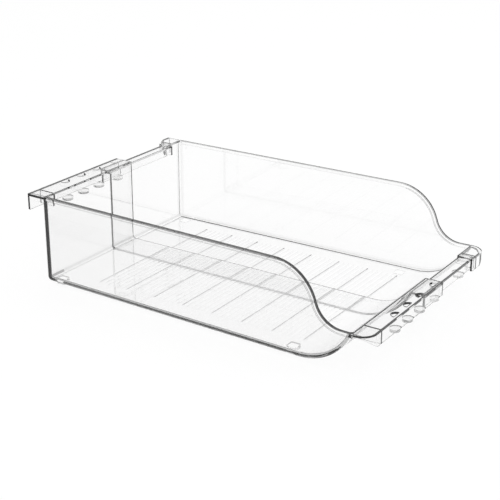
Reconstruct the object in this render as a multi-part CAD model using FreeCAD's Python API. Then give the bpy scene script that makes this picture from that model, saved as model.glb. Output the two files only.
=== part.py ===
"""Expandable fridge drawer organizer: two clear moulded tray halves that slide in one another.

Millimetres. +X across the tray, +Y to its rear, +Z up. The origin is the middle of the
tray's footprint, on the surface that it stands on, with the halves drawn fully apart.
The left half lies on the right half, and its hooked rims run over the right half's rails.
"""
import FreeCAD, Part
import math
import os

V = FreeCAD.Vector

# ---- Basin ----------------------------------------------------------------------------
REAR_WIDTH = 202.4       # over both side walls at the rear, drawn apart
SIDE_FLARE = 1.19        # degrees that each side wall opens out towards the front
TRAY_DEPTH = 307.0       # rear wall's inner face to the front lip's edge
WALL_HEIGHT = 78.1       # floor's underside to the top of the rear rim
FRONT_HEIGHT = 32.5      # floor's underside to the top of the front rim
WALL = 2.0               # moulded wall, everywhere
SIDE_INSIDE = 3.5        # inside radius where a side wall meets the floor, rear and front
SIDE_OUTSIDE = 2.3
HEEL_INSIDE = 3.8        # inside radius where the rear wall meets the floor
HEEL_OUTSIDE = 4.0
BELLY_RADIUS = 49.3      # inside, floor sweeping up into the low front
LIP_RADIUS = 5.2         # top of the front wall, rolling outward into its rim
LIP_SLOPE = 20.0         # degrees left in that roll where the rim's flat begins

# ---- Side walls' top edge: straight, shoulder, short straight, scoop -------------------
SHOULDER_START = 70.0    # behind the front lip's edge
SHOULDER_RADIUS = 39.5
SCOOP_RADIUS = 24.0
SCOOP_ANGLE = 70.0       # steepest slope of the edge, in degrees
BEAD_OUT = 0.7           # the top bead stands this far off both faces of the wall
BEAD_HEIGHT = 3.0

# ---- Rims of the left half, open below ------------------------------------------------
FRONT_RIM = 15.6         # lip's edge to the outside of the front rim
REAR_RIM = 18.6          # rear wall's inner face to the outside of the rear rim
FRONT_SKIRT = 11.7       # height of the front rim's outer skirt
REAR_SKIRT = 14.5
RIM_CORNER = 13.0        # plan radius of the front rim's corner
CORNER_RUN = 14.0        # the skirt rises to nothing over this run to the side wall
WEB_INSET = 13.0         # cross web in each rim, in from the side wall
WEB_HEIGHT = 10.0

# ---- Sliding fit ----------------------------------------------------------------------
LEFT_REACH = 19.5        # left half's free edge, past the middle
RIGHT_REACH = 8.2        # right half's free edge, past the middle
RAIL_REACH = 10.5        # ends of its rails, past the middle
NEST_GAP = 0.6           # rib tops of the right half to the left half's underside
RAIL_GAP = 0.4           # rail to rim plate, and rail to lug
RAIL_WIDTH = 9.8         # right half's cavity edge to the outside of its rail
RAIL_END = 79.0          # right half's full rim begins here, out from the middle
LEAD_IN = 14.0           # rear rim reaches its full width over this run

# ---- Lugs under the left rims, which carry the rails, with a window over each ---------
LUG_DIAMETER = 10.0
LUG_THICKNESS = 2.6
LUG_OVERLAP = 0.2        # lug's top face above the skirt's lower edge
CORE_WIDTH = 9.4         # window over each lug, round at its inner end
CORE_NEAR = 3.4          # skirt's outside to the window's straight side
CORE_FAR = 8.4           # skirt's outside to the window's round end
END_LUG_INSET = 7.6      # last lug from the left half's free edge
END_LUG_STEP = 26.0      # last lug to the one before it
LUG_PITCH = 21.6
LUGS_PER_RIM = 4
STOP_X = 67.0            # stop disc under the right half's front rail, which meets the last lug

# ---- Floor ribs and feet --------------------------------------------------------------
RIB_HEIGHT = 0.2
RIB_WIDTH = 1.2
FINE_RIB_HEIGHT = 0.1
FINE_RIB_WIDTH = 2.4
RIB_COUNT = 8
FIRST_RIB = 42.2         # forward of the rear wall's inner face
LAST_RIB = 56.2          # behind the front lip's edge
FINE_PER_GAP = 5
RIB_INSET = 20.0         # ribs' ends from the side wall
FOOT_HEIGHT = 3.6        # under the left half's floor
FOOT_X = 9.0
FOOT_Y = 9.0
FOOT_CORNER = 1.5
FOOT_INSET = 10.0        # foot's middle from the side wall's outside at the rear
REAR_FOOT = 8.0          # foot's middle forward of the rear wall's inner face
FRONT_FOOT = 59.0        # foot's middle behind the front lip's edge

# ---- Worked out from the above --------------------------------------------------------
HALF_WIDTH = REAR_WIDTH / 2
RIM_EDGE = (TRAY_DEPTH + FRONT_RIM + REAR_RIM) / 2      # outside of both rims, +Y and -Y
REAR_FACE = RIM_EDGE - REAR_RIM
LIP_EDGE = REAR_FACE - TRAY_DEPTH
FLOOR_TOP = FOOT_HEIGHT + WALL
WALL_TOP = FOOT_HEIGHT + WALL_HEIGHT
RIM_TOP = FOOT_HEIGHT + FRONT_HEIGHT
NEST = WALL + RIB_HEIGHT + NEST_GAP                     # right half's cavity outside the left's
RAIL_DROP = WALL + RAIL_GAP                             # rail's top under the rim's top
LUG_MIDDLE = RIM_EDGE - LUG_DIAMETER / 2                # lugs are flush with the skirts
RIB_PITCH = (TRAY_DEPTH - FIRST_RIB - LAST_RIB) / (RIB_COUNT - 1)
FAR = 400.0                                             # past everything


def box(x0, x1, y0, y1, z0, z1):
    return Part.makeBox(x1 - x0, y1 - y0, z1 - z0, V(x0, y0, z0))


def disc(x, y, z0, z1, diameter):
    return Part.makeCylinder(diameter / 2, z1 - z0, V(x, y, z0))


def polygon(points, direction):
    """Prism on a closed outline of points."""
    return Part.Face(Part.makePolygon(points + points[:1])).extrude(direction)


def side_x(y, out=0.0):
    """X of the left side wall's outer face at y, moved outward by out."""
    return -(HALF_WIDTH + out + (REAR_FACE - y) * math.tan(math.radians(SIDE_FLARE)))


def inboard(out=0.0, x_end=FAR, y0=-FAR, y1=FAR, z0=-FAR, z1=FAR):
    """Everything inboard of the left side wall's flared face, moved outward by out."""
    outline = [V(side_x(y1, out), y1, z0), V(side_x(y0, out), y0, z0), V(x_end, y0, z0), V(x_end, y1, z0)]
    return polygon(outline, V(0, 0, z1 - z0))


def on_arc(centre, radius, degrees):
    """Point at radius from centre, degrees round from +Z towards +Y."""
    a = math.radians(degrees)
    return centre + V(0, radius * math.sin(a), radius * math.cos(a))


def arc(centre, radius, start, end):
    mid = on_arc(centre, radius, (start + end) / 2)
    return Part.Arc(on_arc(centre, radius, start), mid, on_arc(centre, radius, end)).toShape()


def line(a, b):
    return Part.makeLine(a, b)


def chain(pieces, direction):
    """Prism on the closed outline that joins arcs and points, in order."""
    edges = []
    ends = [(p, p) if isinstance(p, V) else (p.firstVertex(True).Point, p.lastVertex(True).Point)
            for p in pieces]
    for i, piece in enumerate(pieces):
        if not isinstance(piece, V):
            edges.append(piece)
        edges.append(line(ends[i][1], ends[(i + 1) % len(ends)][0]))
    return Part.Face(Part.Wire(edges)).extrude(direction)


def basin(grow, side_out, x_end, heel, seam_radius):
    """The basin's cavity grown by grow, open above, its side face moved outward by side_out."""
    floor = FLOOR_TOP - grow
    lip_z = RIM_TOP - LIP_RADIUS * math.cos(math.radians(LIP_SLOPE))
    lip_y = LIP_EDGE - LIP_RADIUS * math.sin(math.radians(LIP_SLOPE))
    swing = BELLY_RADIUS + LIP_RADIUS
    belly_z = FLOOR_TOP + BELLY_RADIUS
    steep = math.degrees(math.acos((belly_z - lip_z) / swing))
    belly_c = V(-FAR, lip_y + swing * math.sin(math.radians(steep)), belly_z)
    lip_c = V(-FAR, lip_y, lip_z)
    heel_c = V(-FAR, REAR_FACE + grow - heel, floor + heel)
    flat = LIP_SLOPE * 3 / 4                             # the roll goes on to just over the rim
    lip_end = on_arc(lip_c, LIP_RADIUS - grow, flat)
    heel_arc = arc(heel_c, heel, 90, 180)
    belly_arc = arc(belly_c, BELLY_RADIUS + grow, 180, 180 + steep)
    lip_arc = arc(lip_c, LIP_RADIUS - grow, steep, flat)
    top = 2 * WALL_TOP
    rear_top = V(-FAR, REAR_FACE + grow, top)
    front_top = V(-FAR, lip_end.y, top)
    edges = [line(rear_top, on_arc(heel_c, heel, 90)), heel_arc,
             line(on_arc(heel_c, heel, 180), on_arc(belly_c, BELLY_RADIUS + grow, 180)), belly_arc, lip_arc,
             line(lip_end, front_top), line(front_top, rear_top)]
    block = Part.Face(Part.Wire(edges)).extrude(V(FAR + x_end, 0, 0)).common(inboard(side_out))
    seam = []
    for edge in block.Edges:
        points = [vertex.Point for vertex in edge.Vertexes]
        if all(abs(p.x - side_x(p.y, side_out)) < 1e-3 for p in points) and len(points) == 2:
            at_top = all(abs(p.z - top) < 1e-3 for p in points)
            at_front = all(p.y < lip_end.y + 1e-3 for p in points)
            if not (at_top or at_front):
                seam.append(edge)
    return block.makeFillet(seam_radius, seam)


def above_edge(drop):
    """Everything above the side walls' top edge and the rims, with the edge moved in by drop."""
    turn = math.radians(SCOOP_ANGLE)
    shoulder_c = V(-FAR, LIP_EDGE + SHOULDER_START, WALL_TOP - SHOULDER_RADIUS)
    fall = WALL_HEIGHT - FRONT_HEIGHT - (SHOULDER_RADIUS + SCOOP_RADIUS) * (1 - math.cos(turn))
    foot = on_arc(shoulder_c, SHOULDER_RADIUS, -SCOOP_ANGLE) - V(0, fall / math.tan(turn), fall)
    scoop_c = foot + V(0, -SCOOP_RADIUS * math.sin(turn), SCOOP_RADIUS * math.cos(turn))
    shoulder = arc(shoulder_c, SHOULDER_RADIUS - drop, 0, -SCOOP_ANGLE)
    scoop = arc(scoop_c, SCOOP_RADIUS + drop, 180 - SCOOP_ANGLE, 180)
    return chain([V(-FAR, FAR, WALL_TOP - drop), shoulder, scoop, V(-FAR, -FAR, RIM_TOP - drop),
                  V(-FAR, -FAR, FAR), V(-FAR, FAR, FAR)], V(2 * FAR, 0, 0))


def side_bead():
    """Thickened top edge of the left side wall, from rear rim to front rim."""
    strip = inboard(BEAD_OUT, y0=LIP_EDGE - 1, y1=REAR_FACE).cut(inboard(-WALL - BEAD_OUT))
    return strip.common(above_edge(BEAD_HEIGHT)).cut(above_edge(0))


def front_rim_block(inset, z0, z1, x_end):
    """Front rim's plan outline, taken in by inset, from z0 to z1."""
    block = inboard(BEAD_OUT - inset, x_end, -RIM_EDGE + inset, LIP_EDGE + WALL, z0, z1)
    corner = [e for e in block.Edges if all(v.Point.x < side_x(-RIM_EDGE + inset, BEAD_OUT - inset) + 1
                                            and v.Point.y < -RIM_EDGE + inset + 1 for v in e.Vertexes)]
    return block.makeFillet(RIM_CORNER - inset, corner)


def front_rim(x_end):
    """Plate, outer skirt and cross web of a half's front rim, in left-hand place."""
    skirt_z = RIM_TOP - FRONT_SKIRT
    plate = front_rim_block(0, RIM_TOP - WALL, RIM_TOP + WALL, x_end)
    skirt = front_rim_block(0, skirt_z, RIM_TOP + WALL, x_end).cut(front_rim_block(WALL, -FAR, FAR, FAR))
    skirt = skirt.cut(box(-FAR, FAR, LIP_EDGE - 1, FAR, -FAR, FAR))
    edge_x = side_x(LIP_EDGE, BEAD_OUT)
    rise = [V(edge_x + CORNER_RUN, -FAR, skirt_z), V(edge_x, -FAR, RIM_TOP - WALL),
            V(-FAR, -FAR, RIM_TOP - WALL), V(-FAR, -FAR, -FAR), V(edge_x + CORNER_RUN, -FAR, -FAR)]
    skirt = skirt.cut(polygon(rise, V(0, 2 * FAR, 0)))
    web_x = -HALF_WIDTH + WEB_INSET
    web = box(web_x, web_x + WALL, -RIM_EDGE + WALL / 2, LIP_EDGE + 2 * LIP_RADIUS,
              RIM_TOP - WALL - WEB_HEIGHT, RIM_TOP - WALL / 2)
    return [plate, skirt, web]


def rear_rim(x_end):
    """Plate, outer skirt and cross web of a half's rear rim, in left-hand place."""
    skirt_z = WALL_TOP - REAR_SKIRT
    plate = inboard(BEAD_OUT, x_end, REAR_FACE - SIDE_INSIDE - WALL, RIM_EDGE, WALL_TOP - WALL,
                    WALL_TOP + WALL)
    skirt = inboard(BEAD_OUT, x_end, RIM_EDGE - WALL, RIM_EDGE, skirt_z, WALL_TOP + WALL)
    web_x = -HALF_WIDTH + WEB_INSET
    web = box(web_x, web_x + WALL, REAR_FACE, RIM_EDGE - WALL / 2, WALL_TOP - WALL - WEB_HEIGHT,
              WALL_TOP - WALL / 2)
    return [plate, skirt, web]


def rib(y, floor, x_end, width, height):
    """Low ridge across the floor."""
    x0 = -HALF_WIDTH + RIB_INSET
    outline = [V(x0, y - width / 2, floor - WALL / 2), V(x0, y - width / 2, floor), V(x0, y, floor + height),
               V(x0, y + width / 2, floor), V(x0, y + width / 2, floor - WALL / 2)]
    return polygon(outline, V(x_end - x0, 0, 0))


def floor_ribs(floor, x_end):
    ribs = []
    for i in range(RIB_COUNT):
        y = REAR_FACE - FIRST_RIB - i * RIB_PITCH
        ribs.append(rib(y, floor, x_end, RIB_WIDTH, RIB_HEIGHT))
        if i < RIB_COUNT - 1:
            for k in range(1, FINE_PER_GAP + 1):
                fine_y = y - k * RIB_PITCH / (FINE_PER_GAP + 1)
                ribs.append(rib(fine_y, floor, x_end, FINE_RIB_WIDTH, FINE_RIB_HEIGHT))
    return ribs


def feet():
    pads = []
    x = -HALF_WIDTH + FOOT_INSET
    for y in (REAR_FACE - REAR_FOOT, LIP_EDGE + FRONT_FOOT):
        pad = box(x - FOOT_X / 2, x + FOOT_X / 2, y - FOOT_Y / 2, y + FOOT_Y / 2, 0, FLOOR_TOP + HEEL_INSIDE)
        upright = [e for e in pad.Edges if abs(e.Vertexes[0].Point.z - e.Vertexes[1].Point.z) > 1]
        pads.append(pad.makeFillet(FOOT_CORNER, upright))
    return pads


def lug_places():
    last = LEFT_REACH - END_LUG_INSET
    return [last] + [last - END_LUG_STEP - i * LUG_PITCH for i in range(LUGS_PER_RIM - 1)]


def core_window(x, side, z):
    """Window through a rim's plate over one lug; side is -1 at the front rim and 1 at the rear."""
    near_y, round_y = side * (RIM_EDGE - CORE_NEAR), side * (RIM_EDGE - CORE_FAR + CORE_WIDTH / 2)
    low, high = sorted((near_y, near_y - side * CORE_WIDTH))
    inner = box(x - CORE_WIDTH, x + CORE_WIDTH, low, high, z - 2 * WALL, z + WALL)
    return disc(x, round_y, z - 2 * WALL, z + WALL, CORE_WIDTH).common(inner)


def left_half():
    cavity = basin(0, -WALL, FAR, HEEL_INSIDE, SIDE_INSIDE)
    solid = basin(WALL, 0, LEFT_REACH, HEEL_OUTSIDE, SIDE_OUTSIDE)
    adds = front_rim(LEFT_REACH) + rear_rim(LEFT_REACH) + feet()
    for x in lug_places():
        for y, z in ((-LUG_MIDDLE, RIM_TOP - FRONT_SKIRT), (LUG_MIDDLE, WALL_TOP - REAR_SKIRT)):
            adds.append(disc(x, y, z + LUG_OVERLAP - LUG_THICKNESS, z + LUG_OVERLAP, LUG_DIAMETER))
    windows = [core_window(x, side, z) for x in lug_places() for side, z in ((-1, RIM_TOP), (1, WALL_TOP))]
    solid = solid.multiFuse(adds).cut(cavity).cut(above_edge(0)).cut(windows)
    return solid.fuse(side_bead()).multiFuse(floor_ribs(FLOOR_TOP, LEFT_REACH)).removeSplitter()


def rail(y_in, y_out, z_top, z_low, x_end):
    """Rail that a left rim runs over: a plate with a skirt along its outer edge."""
    low, high = sorted((y_in, y_out))
    skirt_low, skirt_high = sorted((y_out, y_out - math.copysign(WALL, y_out)))
    x0 = -HALF_WIDTH + WEB_INSET + WALL / 2
    plate = box(x0, x_end, low, high, z_top - WALL, z_top)
    return [plate, box(x0, x_end, skirt_low, skirt_high, z_low, z_top)]


def right_half():
    """Built in left-hand place, then mirrored."""
    cavity = basin(NEST, -WALL, FAR, HEEL_INSIDE, SIDE_INSIDE)
    front_rail_top, rear_rail_top = RIM_TOP - RAIL_DROP, WALL_TOP - RAIL_DROP
    front_rail_low = RIM_TOP - FRONT_SKIRT + LUG_OVERLAP + RAIL_GAP
    rear_rail_low = WALL_TOP - REAR_SKIRT + LUG_OVERLAP + RAIL_GAP
    front_out, rear_out = LIP_EDGE - NEST - RAIL_WIDTH, REAR_FACE + NEST + RAIL_WIDTH
    under_rims = [box(-RAIL_END, FAR, REAR_FACE - WALL, FAR, rear_rail_top, FAR),
                  box(-RAIL_END, FAR, -FAR, LIP_EDGE + 2 * LIP_RADIUS, front_rail_top, FAR)]
    solid = basin(NEST + WALL, 0, RIGHT_REACH, HEEL_OUTSIDE, SIDE_OUTSIDE).cut(under_rims)
    adds = front_rim(-RAIL_END) + rear_rim(-RAIL_END) + feet()
    lead = [V(-RAIL_END, rear_out, -FAR), V(-RAIL_END - LEAD_IN, RIM_EDGE, -FAR),
            V(-RAIL_END - LEAD_IN, FAR, -FAR), V(FAR, FAR, -FAR), V(FAR, rear_out, -FAR)]
    adds = [piece.cut(polygon(lead, V(0, 0, 2 * FAR))) for piece in adds]
    step_x = -RAIL_END - WALL
    adds.append(box(step_x, -RAIL_END, REAR_FACE + NEST, rear_out, rear_rail_top - WALL, WALL_TOP + WALL))
    adds.append(box(step_x, -RAIL_END, front_out, LIP_EDGE + LIP_RADIUS, front_rail_top - WALL,
                    RIM_TOP + WALL))
    adds += rail(REAR_FACE + NEST, rear_out, rear_rail_top, rear_rail_low, RAIL_REACH)
    adds += rail(LIP_EDGE, front_out, front_rail_top, front_rail_low, RAIL_REACH)
    stop_top = front_rail_low + LUG_OVERLAP
    stop_y = front_out + LUG_DIAMETER / 2
    adds.append(disc(-STOP_X, stop_y, stop_top - LUG_THICKNESS, stop_top, LUG_DIAMETER))
    solid = solid.multiFuse(adds).cut(cavity).cut(above_edge(0))
    solid = solid.fuse(side_bead()).multiFuse(floor_ribs(FLOOR_TOP - NEST, RIGHT_REACH)).removeSplitter()
    return solid.mirror(V(0, 0, 0), V(1, 0, 0))


os.makedirs("parts", exist_ok=True)
for name, shape in (("left_tray_half", left_half()), ("right_tray_half", right_half())):
    shape.exportStep("parts/" + name + ".step")
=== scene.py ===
"""Looks of the expandable fridge drawer organizer: two clear moulded halves on a white sweep.

All shapes are the CAD's own. This script gives them their plastic, and adds a camera, a sweep and lamps.
"""
import math

import bpy
from mathutils import Matrix, Vector

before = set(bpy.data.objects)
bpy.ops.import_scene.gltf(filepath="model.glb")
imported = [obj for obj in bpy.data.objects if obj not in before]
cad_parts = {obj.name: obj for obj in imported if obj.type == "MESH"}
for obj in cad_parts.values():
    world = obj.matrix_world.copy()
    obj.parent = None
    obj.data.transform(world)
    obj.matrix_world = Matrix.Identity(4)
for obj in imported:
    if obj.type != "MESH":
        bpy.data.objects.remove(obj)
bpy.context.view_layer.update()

MM = 0.001
WHITE = (1, 1, 1, 1)

# ---- Camera, worked out from the tray's own straight edges ----------------------------
CAMERA_PLACE = Vector((-826.6, -537.0, 431.0)) * MM
CAMERA_AZIMUTH = -56.71      # degrees, 0 looks along +Y
CAMERA_ELEVATION = 22.0      # degrees that it looks down
CAMERA_ROLL = 0.14
CAMERA_LENS = 87.18          # on Blender's 36 mm sensor
CAMERA_NEAR = 10.0 * MM

# ---- Where things are on the part: -X is its left, +Y its rear ------------------------
WALL = 2.0 * MM
HALF_WIDTH = 101.2 * MM      # middle to a side wall's outside, level with the rear wall's inner face
REAR_FACE = 152.0 * MM       # where that face is
FLARE = math.tan(math.radians(1.19))     # of the side walls, towards the front
BEAD_OUT = 0.7 * MM          # a side wall's top bead stands this far off it
BEAD_FACE_FOOT = 80.5 * MM   # painted shade darkens the bead's straight stretch above this
RIGHT_TOP_FOOT = 78.0 * MM   # the painted reflection is softer on the right side's top above this
FLOOR_ZONE = 10.0 * MM       # the floors, their outer corners and the feet are below this
FOOT_TOP = 3.5 * MM          # the feet and the right half's floor are below this
MIDDLE = 80.0 * MM           # the ribs, and the floor between the walls, reach this far from X = 0
RIBS_REAR = 112.0 * MM
RIBS_FRONT = -102.0 * MM

# ---- Clear polystyrene ----------------------------------------------------------------
PLASTIC_IOR = 1.57
WALL_TINT = 0.97             # its base colour at X = 0
TINT_SLOPE = 0.2             # what that gains for each metre to the right
FLOOR_TINT = 1.0             # base colour of the floors' flat faces
SHADOW_TINT = (0.95, 0.95, 0.95, 1)      # what each face lets through of a lamp's light
HAZE_SCALE = 60.0            # patches where the polish is duller
HAZE_DETAIL = 3.0
HAZE_FROM = 0.55             # noise value where a patch begins
HAZE_FULL = 0.9              # and where it is dullest
HAZE_ROUGHNESS = 0.04        # and its roughness there
WAVE_SCALE = 22.0            # slow waves in the moulded faces
WAVE_DETAIL = 1.0
WAVE_STRENGTH = 0.05
WAVE_HEIGHT = 0.4 * MM

# ---- Painted dark edges: painted shade and painted reflections ------------------------
# A face's "upward" is 0 where it looks down, 0.5 where it is upright and 1 where it looks up, as light
# inside the plastic meets it. For light outside it is the other way round. Its "tilt" is how far upward is
# from 0.5.
LEVEL_STEPS = ((0.003, 1), (0.012, 0), (0.55, 0), (0.62, 1))     # upward, and how level that counts as
FLAT = 0.485                 # tilt above which a face is flat; 0.5 is level

# Where the plastic's faces throw light back wholly, a painted reflection of a dark studio goes in these
# shares.
TOTAL = 0.99                 # Fresnel value above which that is so
PAINTED_REFLECTION_SHARE = 0.97         # at faces that aren't level, and at the flat floor between the walls
PAINTED_REFLECTION_LEVEL_LEFT = 0.45    # at the other level faces left of the middle
PAINTED_REFLECTION_LEVEL = 0.3          # and right of it
PAINTED_REFLECTION_SOFT = 0.5           # at the floors' edges between the walls, the feet and the right side's top
PAINTED_REFLECTION_DARK = 0.01          # brightness of that painted reflection
PAINTED_REFLECTION_PALE = 0.7           # and of the painted reflection of the white sweep, which that flat floor shows on top of it

# These places get painted shade outright.
BEAD_SHADE_SHARE = 0.9             # under the left side wall's top bead, from inside
BEAD_UPWARD = 0.4            # where its upward is less than this
BEAD_FACE_SHADE_SHARE = 0.55       # the bead's face along its straight stretch, from outside
BEAD_INNER = 1.02            # the bead begins at the wall's face times this
BEAD_OUTER = 1.1             # and stands out from it by BEAD_OUT times this, at most
CORNER_SHADE_SHARE = 0.6           # the outer floor corner under the left side wall, from inside
CORNER_SHADE_ELSEWHERE = 0.15      # and under the other walls
CORNER_UPWARD = (0.1, 0.45)  # where its upward is between these
RIB_SHADE_SHARE = 0.15             # the slopes of the coarse floor ribs
RIB_TILT = 0.465             # where their tilt is more than this, and not flat

# ---- Studio ---------------------------------------------------------------------------
ROOM_SEEN_THROUGH = 0.95     # brightness of the room above, to all but camera and glossy rays
ROOM_REFLECTED = 0.95        # and to glossy rays
HORIZON = 0.02               # the first is white where a ray rises by less than this part of its length
ROOM_FROM = 0.15             # and fades to its own brightness up to this
LAMPS = (                    # name, place in metres, size, watts; each is turned to the origin
    ("key", (-0.5, -0.9, 1.3), 0.9, 6),
    ("fill", (0.9, 0.2, 1.4), 1.1, 4),
)
SWEEP_SIZE = 6               # metres
SWEEP_WHITE = (0.9, 0.9, 0.9, 1)
SWEEP_ROUGHNESS = 0.9
SWEEP_GLOW = 0.9             # share of the sweep's white that is backlight where it is seen; the rest is lit


# ---- Node helpers ---------------------------------------------------------------------
def new_material(name):
    material = bpy.data.materials.new(name)
    material.use_nodes = True
    return material, material.node_tree


def feed(tree, socket, value):
    """Gives a socket a number, or links another socket to it."""
    if isinstance(value, (int, float)):
        socket.default_value = value
    else:
        tree.links.new(value, socket)


def maths(tree, operation, *values):
    """Math node on sockets or numbers; returns its output."""
    node = tree.nodes.new("ShaderNodeMath")
    node.operation = operation
    for socket, value in zip(node.inputs, values):
        feed(tree, socket, value)
    return node.outputs[0]


def mix_shaders(tree, factor, a, b):
    mix = tree.nodes.new("ShaderNodeMixShader")
    for socket, value in zip(mix.inputs, (factor, a, b)):
        feed(tree, socket, value)
    return mix.outputs[0]


def separate(tree, vector):
    """X, Y and Z of a vector socket."""
    node = tree.nodes.new("ShaderNodeSeparateXYZ")
    tree.links.new(vector, node.inputs[0])
    return node.outputs


def noise(tree, place, scale, detail):
    node = tree.nodes.new("ShaderNodeTexNoise")
    node.inputs["Scale"].default_value = scale
    node.inputs["Detail"].default_value = detail
    tree.links.new(place, node.inputs["Vector"])
    return node.outputs["Fac"]


# ---- Plastic --------------------------------------------------------------------------
class Surface:
    """Masks over the part's faces: sockets that are 1 where they hold and 0 where they don't."""

    def __init__(self, tree, place):
        self.tree = tree
        self.x, self.y, self.z = separate(tree, place)
        self.across = self.maths("ABSOLUTE", self.x)
        self.left = self.under(self.x, 0.0)
        self.high = self.over(self.z, FLOOR_ZONE)
        self.low = self.opposite(self.high)
        self.in_middle = self.under(self.across, MIDDLE)

        geometry = tree.nodes.new("ShaderNodeNewGeometry")
        self.leaving = geometry.outputs["Backfacing"]        # seen from inside the plastic
        facing = separate(tree, geometry.outputs["True Normal"])
        self.upward = self.maths("MULTIPLY_ADD", facing["Z"], -0.5, 0.5)
        self.tilt = self.maths("ABSOLUTE", self.maths("SUBTRACT", self.upward, 0.5))
        self.flat = self.over(self.tilt, FLAT)
        self.level = self.level_ramp()

    def maths(self, operation, *values):
        return maths(self.tree, operation, *values)

    def over(self, value, limit):
        return self.maths("GREATER_THAN", value, limit)

    def under(self, value, limit):
        return self.maths("LESS_THAN", value, limit)

    def opposite(self, mask):
        return self.maths("SUBTRACT", 1.0, mask)

    def product(self, first, *others):
        for other in others:
            first = self.maths("MULTIPLY", first, other)
        return first

    def largest(self, first, *others):
        for other in others:
            first = self.maths("MAXIMUM", first, other)
        return first

    def blend(self, mask, off, on):
        """off where the mask is 0 and on where it is 1."""
        return self.maths("MULTIPLY_ADD", mask, self.maths("SUBTRACT", on, off), off)

    def level_ramp(self):
        """1 on faces that look straight down or upward, 0 on the others."""
        ramp = self.tree.nodes.new("ShaderNodeValToRGB")
        steps = ramp.color_ramp.elements
        while len(steps) < len(LEVEL_STEPS):
            steps.new(0.5)
        for step, (position, grey) in zip(steps, LEVEL_STEPS):
            step.position, step.color = position, (grey, grey, grey, 1)
        self.tree.links.new(self.upward, ramp.inputs[0])
        return ramp.outputs["Color"]

    def tint(self):
        """Base colour: greyer towards the left side wall, and none on the floors' flat faces."""
        walls = self.maths("MULTIPLY_ADD", self.x, TINT_SLOPE, WALL_TINT)
        return self.blend(self.product(self.low, self.level), walls, FLOOR_TINT)

    def painted_reflection(self, floor_between):
        """Share of the painted dark reflection, put where light is wholly reflected."""
        fresnel = self.tree.nodes.new("ShaderNodeFresnel")
        fresnel.inputs["IOR"].default_value = PLASTIC_IOR
        total = self.product(self.over(fresnel.outputs[0], TOTAL), self.leaving)
        other_level = self.maths("SUBTRACT", self.level, floor_between)
        level_share = self.blend(self.left, PAINTED_REFLECTION_LEVEL, PAINTED_REFLECTION_LEVEL_LEFT)
        share = self.blend(other_level, PAINTED_REFLECTION_SHARE, level_share)
        floor_edge = self.product(self.low, self.in_middle)
        foot = self.under(self.z, FOOT_TOP)
        right_top = self.product(self.opposite(self.left), self.over(self.z, RIGHT_TOP_FOOT))
        soft = self.product(self.opposite(self.level), self.largest(floor_edge, foot, right_top))
        # Soft faces aren't level, so they have the painted reflection's full share up to here.
        share = self.maths("MULTIPLY_ADD", soft, PAINTED_REFLECTION_SOFT - PAINTED_REFLECTION_SHARE, share)
        return self.product(total, share)

    def bead_shade(self):
        """Painted shade on the left side wall's beaded top: below it from inside, and along the top of its
        straight stretch from outside.
        """
        wall_middle = HALF_WIDTH + REAR_FACE * FLARE - WALL / 2      # of its thickness, out from X = 0
        flared = self.maths("MULTIPLY_ADD", self.y, FLARE, -wall_middle)
        off_middle = self.maths("ABSOLUTE", self.maths("ADD", self.across, flared))
        in_bead = self.product(self.left, self.over(off_middle, WALL / 2 * BEAD_INNER),
                               self.under(off_middle, WALL / 2 + BEAD_OUT * BEAD_OUTER))
        under_bead_shade = self.product(in_bead, self.leaving, self.under(self.upward, BEAD_UPWARD), self.high,
                                 BEAD_SHADE_SHARE)
        bead_face_shade = self.product(in_bead, self.opposite(self.leaving), self.over(self.z, BEAD_FACE_FOOT),
                            BEAD_FACE_SHADE_SHARE)
        return self.largest(under_bead_shade, bead_face_shade)

    def corner_shade(self):
        """Painted shade in the outer corners where the walls meet the floor, from inside."""
        least, most = CORNER_UPWARD
        share = self.blend(self.under(self.x, -MIDDLE), CORNER_SHADE_ELSEWHERE, CORNER_SHADE_SHARE)
        return self.product(self.leaving, self.over(self.upward, least), self.under(self.upward, most),
                            self.low, share)

    def rib_shade(self):
        """Painted shade on the slopes of the coarse floor ribs."""
        slope = self.product(self.over(self.tilt, RIB_TILT), self.opposite(self.flat))
        return self.product(slope, self.low, self.in_middle, self.under(self.y, RIBS_REAR),
                            self.over(self.y, RIBS_FRONT), RIB_SHADE_SHARE)


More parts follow.
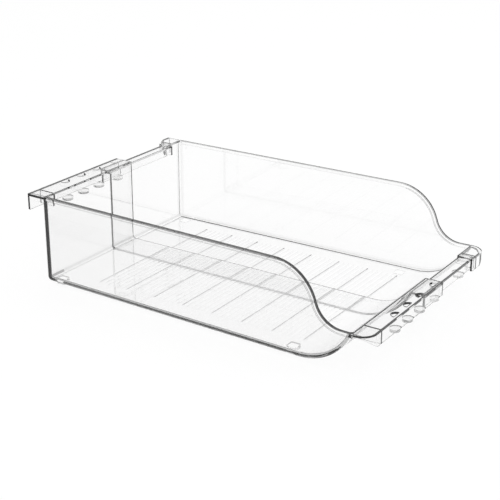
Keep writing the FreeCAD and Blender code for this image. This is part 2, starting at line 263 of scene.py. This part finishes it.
def clear_plastic():
    """Refracting plastic with painted dark edges.

    A white room alone gives edges that are much paler than the photograph's. The masks of Surface paint
    shade and dark reflections in, standing in for the dark parts of the real studio.
    """
    material, tree = new_material("clear_plastic")
    nodes, links = tree.nodes, tree.links
    place = nodes.new("ShaderNodeTexCoord").outputs["Object"]
    surface = Surface(tree, place)

    glass = nodes["Principled BSDF"]
    glass.inputs["IOR"].default_value = PLASTIC_IOR
    glass.inputs["Transmission Weight"].default_value = 1.0
    links.new(surface.tint(), glass.inputs["Base Color"])

    polish = nodes.new("ShaderNodeMapRange")
    for name, value in (("From Min", HAZE_FROM), ("From Max", HAZE_FULL),
                        ("To Min", 0.0), ("To Max", HAZE_ROUGHNESS)):
        polish.inputs[name].default_value = value
    links.new(noise(tree, place, HAZE_SCALE, HAZE_DETAIL), polish.inputs["Value"])
    links.new(polish.outputs["Result"], glass.inputs["Roughness"])

    waves = nodes.new("ShaderNodeBump")
    waves.inputs["Strength"].default_value = WAVE_STRENGTH
    waves.inputs["Distance"].default_value = WAVE_HEIGHT
    links.new(noise(tree, place, WAVE_SCALE, WAVE_DETAIL), waves.inputs["Height"])
    links.new(waves.outputs["Normal"], glass.inputs["Normal"])

    # Painted shade and painted reflections: a dark diffuse, pale on the flat floor between the walls, mixed
    # over the glass.
    floor_between = surface.product(surface.level, surface.in_middle, surface.low, surface.flat)
    painted_shade_share = surface.largest(surface.painted_reflection(floor_between), surface.bead_shade(), surface.corner_shade(), surface.rib_shade())
    painted_shade_bsdf = nodes.new("ShaderNodeBsdfDiffuse")
    links.new(maths(tree, "MULTIPLY_ADD", floor_between, PAINTED_REFLECTION_PALE, PAINTED_REFLECTION_DARK), painted_shade_bsdf.inputs["Color"])
    seen = mix_shaders(tree, painted_shade_share, glass.outputs[0], painted_shade_bsdf.outputs[0])

    shade = nodes.new("ShaderNodeBsdfTransparent")
    shade.inputs["Color"].default_value = SHADOW_TINT
    shadow_ray = nodes.new("ShaderNodeLightPath").outputs["Is Shadow Ray"]
    plastic = mix_shaders(tree, shadow_ray, seen, shade.outputs[0])
    links.new(plastic, nodes["Material Output"].inputs["Surface"])
    return material


# ---- Around the part ------------------------------------------------------------------
def camera():
    data = bpy.data.cameras.new("camera")
    data.lens = CAMERA_LENS
    data.clip_start = CAMERA_NEAR
    place = bpy.data.objects.new("camera", data)
    bpy.context.collection.objects.link(place)
    turn = (Matrix.Rotation(math.radians(CAMERA_AZIMUTH), 4, "Z")
            @ Matrix.Rotation(math.radians(90 - CAMERA_ELEVATION), 4, "X")
            @ Matrix.Rotation(math.radians(CAMERA_ROLL), 4, "Z"))
    place.matrix_world = Matrix.Translation(CAMERA_PLACE) @ turn
    bpy.context.scene.camera = place


def room():
    """World: white to the camera, and a trace greyer above the horizon to rays that the plastic sends on."""
    world = bpy.data.worlds.new("studio")
    bpy.context.scene.world = world
    world.use_nodes = True
    tree = world.node_tree
    nodes, links = tree.nodes, tree.links
    nodes.clear()
    height = separate(tree, nodes.new("ShaderNodeTexCoord").outputs["Generated"])["Z"]
    above = nodes.new("ShaderNodeValToRGB")
    ramp = above.color_ramp.elements
    ramp[0].position, ramp[0].color = HORIZON, WHITE
    ramp[1].position, ramp[1].color = ROOM_FROM, (ROOM_SEEN_THROUGH,) * 3 + (1,)
    links.new(height, above.inputs[0])
    passed = nodes.new("ShaderNodeBackground")
    links.new(above.outputs["Color"], passed.inputs["Color"])
    mirrored = nodes.new("ShaderNodeBackground")
    mirrored.inputs["Strength"].default_value = ROOM_REFLECTED
    white = nodes.new("ShaderNodeBackground")
    for node in (mirrored, white):
        node.inputs["Color"].default_value = WHITE
    path = nodes.new("ShaderNodeLightPath")
    seen = mix_shaders(tree, path.outputs["Is Glossy Ray"], passed.outputs[0], mirrored.outputs[0])
    seen = mix_shaders(tree, path.outputs["Is Camera Ray"], seen, white.outputs[0])
    links.new(seen, nodes.new("ShaderNodeOutputWorld").inputs[0])


def lamps():
    for name, place, size, watts in LAMPS:
        data = bpy.data.lights.new(name, "AREA")
        data.size = size
        data.energy = watts
        light = bpy.data.objects.new(name, data)
        bpy.context.collection.objects.link(light)
        light.location = place
        light.visible_glossy = False         # their mirror images would break the dark edges
        light.rotation_euler = (-Vector(place)).to_track_quat("-Z", "Y").to_euler()


def floor():
    """White sweep, partly backlit where it is seen, so that it stays white and still keeps the shadow."""
    bpy.ops.mesh.primitive_plane_add(size=SWEEP_SIZE)
    plane = bpy.context.object
    plane.name = "floor"
    material, tree = new_material("white_sweep")
    nodes, links = tree.nodes, tree.links
    paper = nodes["Principled BSDF"]
    paper.inputs["Base Color"].default_value = SWEEP_WHITE
    paper.inputs["Roughness"].default_value = SWEEP_ROUGHNESS
    glow = nodes.new("ShaderNodeEmission")
    glow.inputs["Color"].default_value = WHITE
    rays = nodes.new("ShaderNodeLightPath").outputs
    seen = maths(tree, "MAXIMUM", rays["Is Camera Ray"], rays["Is Transmission Ray"])
    seen = maths(tree, "MAXIMUM", seen, rays["Is Glossy Ray"])
    share = maths(tree, "MULTIPLY", seen, SWEEP_GLOW)
    sweep = mix_shaders(tree, share, paper.outputs[0], glow.outputs[0])
    links.new(sweep, nodes["Material Output"].inputs["Surface"])
    plane.data.materials.append(material)


camera()
room()
lamps()
floor()
part_material = clear_plastic()
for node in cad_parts.values():
    node.data.materials.clear()
    node.data.materials.append(part_material)

bpy.context.scene.view_settings.view_transform = "Standard"
